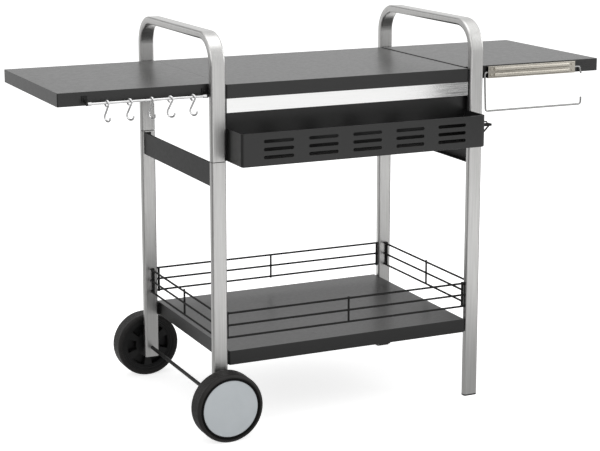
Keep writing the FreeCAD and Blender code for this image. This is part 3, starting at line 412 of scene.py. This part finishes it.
def rim_radii(bead):
    """Radii of the inner face's vertices, from the bead to the hub."""
    radii = [bead]
    for limit, _ in RIM_STEPS[:-1]:
        radii += [limit + RIM_DRAFT, limit]
    radii += [POCKET_OUT + RIM_DRAFT, POCKET_OUT, POCKET_IN, POCKET_IN - RIM_DRAFT, HUB_RADIUS]
    return sorted(set(radii), reverse=True)


def rim_angles(half, draft):
    """Angles of the inner face's vertices, for pockets of that half span and draft."""
    stations = [-half, -half + draft, half - draft, half]
    stations += [half * share for share in POCKET_STATIONS]
    stations += [math.pi / RIM_POCKETS * share for share in SPOKE_STATIONS]
    return [math.tau * i / RIM_POCKETS + station
            for i in range(RIM_POCKETS) for station in sorted(stations)]


def rim_depth(radius):
    """Depth of the rim's inner face: steps that fall towards the hub."""
    for limit, depth in RIM_STEPS:
        if radius > limit:
            return depth
    return RIM_STEPS[-1][1]


def make_rim_face(wheel):
    """Inner face as a polar grid, its pockets sunk between the spokes."""
    half = math.radians(POCKET_SPAN / 2)
    draft = math.radians(POCKET_DRAFT)
    radii = rim_radii(wheel.bead_radius)

    def depth(radius, angle):
        turn = (angle * RIM_POCKETS / math.tau + 0.5) % 1.0 - 0.5
        near = abs(turn) * math.tau / RIM_POCKETS < half - draft / 2
        return POCKET_DEPTH if near and POCKET_IN <= radius <= POCKET_OUT else rim_depth(radius)

    builder = bmesh.new()
    grid = [[builder.verts.new(wheel.point(r, angle, depth(r, angle))) for r in radii]
            for angle in rim_angles(half, draft)]
    for i, column in enumerate(grid):
        following = grid[(i + 1) % len(grid)]
        for j in range(len(radii) - 1):
            builder.faces.new((column[j], column[j + 1], following[j + 1], following[j]))
    finished(builder, f"rim_{wheel.end}_face", MATERIALS["rim_plastic"], wheel.body,
             "rim_plastic", f"rim_{wheel.end}")


def make_rim_hub(wheel):
    profile = [(AXLE_BORE, wheel.hub_depth), (HUB_RADIUS - HUB_ROUND, wheel.hub_depth),
               (HUB_RADIUS, wheel.hub_depth + HUB_ROUND), (HUB_RADIUS, POCKET_DEPTH),
               (AXLE_BORE, POCKET_DEPTH)]
    finished(lathe(wheel, profile), f"rim_{wheel.end}_hub", MATERIALS["rim_plastic"], wheel.body,
             "rim_plastic")


def make_rim_lip(wheel):
    w, bead = wheel.width, wheel.bead_radius
    profile = (arc(bead + LIP_FLANGE, w - LIP_FLANGE_THICK / 2, LIP_FLANGE_THICK / 2, 180.0, 0.0)
               + arc(bead - LIP / 2, w - LIP / 2, LIP / 2, 0.0, -90.0)
               + [(bead - LIP, POCKET_DEPTH + LIP), (bead, RIM_STEPS[0][1]),
                  (bead, w - LIP_FLANGE_THICK)])
    finished(lathe(wheel, profile), f"rim_{wheel.end}_lip", MATERIALS["rim_lip"], wheel.body,
             "rim_plastic")


def make_cap(wheel):
    w, r = wheel.width, wheel.cap_radius
    profile = [(0.0, w - CAP_THICK), (r, w - CAP_THICK), (r, w - CAP_DOME - CAP_BEVEL),
               (r - CAP_BEVEL, w - CAP_DOME)]
    for i in range(1, CAP_RINGS):
        share = 1 - i / CAP_RINGS
        profile.append((r * share, w - CAP_DOME * share ** 2))
    profile.append((0.0, w))
    builder = lathe(wheel, profile, closed=False)
    bmesh.ops.remove_doubles(builder, verts=builder.verts[:], dist=MERGE_DISTANCE)
    finished(builder, f"hub_cap_{wheel.end}_disc", MATERIALS["hub_cap_plastic"], wheel.body,
             "hub_cap_plastic", f"hub_cap_{wheel.end}")


def make_wheels():
    for end in ("front", "rear"):
        wheel = Wheel(end)
        make_tyre(wheel)
        make_rim_face(wheel)
        make_rim_hub(wheel)
        make_rim_lip(wheel)
        make_cap(wheel)


# Studio

def panel(name, low, high):
    """A rectangle in one of the main planes, from its lowest to its highest corner."""
    first, second = [axis for axis in range(3) if low[axis] != high[axis]]
    corners = [list(low) for _ in range(4)]
    corners[1][first] = corners[2][first] = high[first]
    corners[2][second] = corners[3][second] = high[second]
    mesh = bpy.data.meshes.new(name)
    mesh.from_pydata(corners, [], [(0, 1, 2, 3)])
    mesh.materials.append(new_material(name))
    piece = bpy.data.objects.new(name, mesh)
    scene.collection.objects.link(piece)
    return piece


def make_floor():
    floor = panel("floor", (-FLOOR_HALF, -FLOOR_HALF, 0.0), (FLOOR_HALF, FLOOR_HALF, 0.0))
    graph = Graph(floor.data.materials[0].node_tree)
    output = graph.add("ShaderNodeOutputMaterial")
    diffuse = graph.add("ShaderNodeBsdfDiffuse")
    diffuse.inputs["Color"].default_value = (FLOOR_ALBEDO, FLOOR_ALBEDO, FLOOR_ALBEDO, 1.0)
    glow = graph.add("ShaderNodeEmission")
    rays = graph.add("ShaderNodeLightPath").outputs
    lift = graph.maths("MULTIPLY", rays["Is Camera Ray"], FLOOR_LIFT)
    for name in GLOSS_RAYS:
        lift = graph.maths("ADD", lift, graph.maths("MULTIPLY", rays[name], FLOOR_GLOSS_LIFT))
    graph.join(lift, glow.inputs["Strength"])
    both = graph.mix("ShaderNodeAddShader", diffuse.outputs[0], glow.outputs[0])
    graph.join(both, output.inputs["Surface"])


def make_cards():
    """Cards that neither the camera nor the light sees."""
    for name, (low, high, brightness) in CARDS.items():
        card = panel(name, low, high)
        material = card.data.materials[0]
        graph = Graph(material.node_tree)
        output = graph.add("ShaderNodeOutputMaterial")
        glow = graph.add("ShaderNodeEmission")
        glow.inputs["Strength"].default_value = brightness
        graph.join(glow.outputs[0], output.inputs["Surface"])
        material.cycles.emission_sampling = "NONE"
        card.visible_camera = False
        card.visible_diffuse = False
        card.visible_transmission = False
        card.visible_shadow = False


def background(graph, strength):
    node = graph.add("ShaderNodeBackground")
    node.inputs["Strength"].default_value = strength
    node.inputs["Color"].default_value = WHITE
    return node.outputs[0]


def make_world():
    """Plain light, and a white screen for the rays of the camera, gloss and transmission."""
    world = bpy.data.worlds.new("studio")
    scene.world = world
    world.use_nodes = True
    graph = Graph(world.node_tree)
    output = graph.add("ShaderNodeOutputWorld")
    rays = graph.add("ShaderNodeLightPath").outputs
    seen = rays["Is Camera Ray"]
    for name in GLOSS_RAYS:
        seen = graph.maths("MAXIMUM", seen, rays[name])
    both = graph.mix("ShaderNodeMixShader", seen, background(graph, WORLD_DIFFUSE),
                     background(graph, SCREEN_WHITE))
    graph.join(both, output.inputs["Surface"])


def make_lights():
    for name, (place, width, height, power) in LAMPS.items():
        data = bpy.data.lights.new(name, "AREA")
        data.shape = "RECTANGLE"
        data.size = width
        data.size_y = height
        data.energy = power
        light = bpy.data.objects.new(name, data)
        scene.collection.objects.link(light)
        light.location = place
        towards = Vector(LAMP_AIM) - Vector(place)
        light.rotation_euler = towards.to_track_quat("-Z", "Y").to_euler()


def make_camera():
    data = bpy.data.cameras.new("camera")
    data.lens = CAMERA_LENS
    data.sensor_width = CAMERA_SENSOR
    data.sensor_fit = "HORIZONTAL"
    data.shift_y = CAMERA_SHIFT_Y
    camera = bpy.data.objects.new("camera", data)
    scene.collection.objects.link(camera)
    camera.location = CAMERA_AT
    camera.rotation_euler = (math.radians(90.0 - CAMERA_PITCH), 0.0, math.radians(-CAMERA_YAW))
    scene.camera = camera


def set_view():
    scene.view_settings.view_transform = "Standard"


set_view()
make_world()
make_floor()
make_lights()
make_cards()
make_camera()
dress_nodes()
make_wheels()
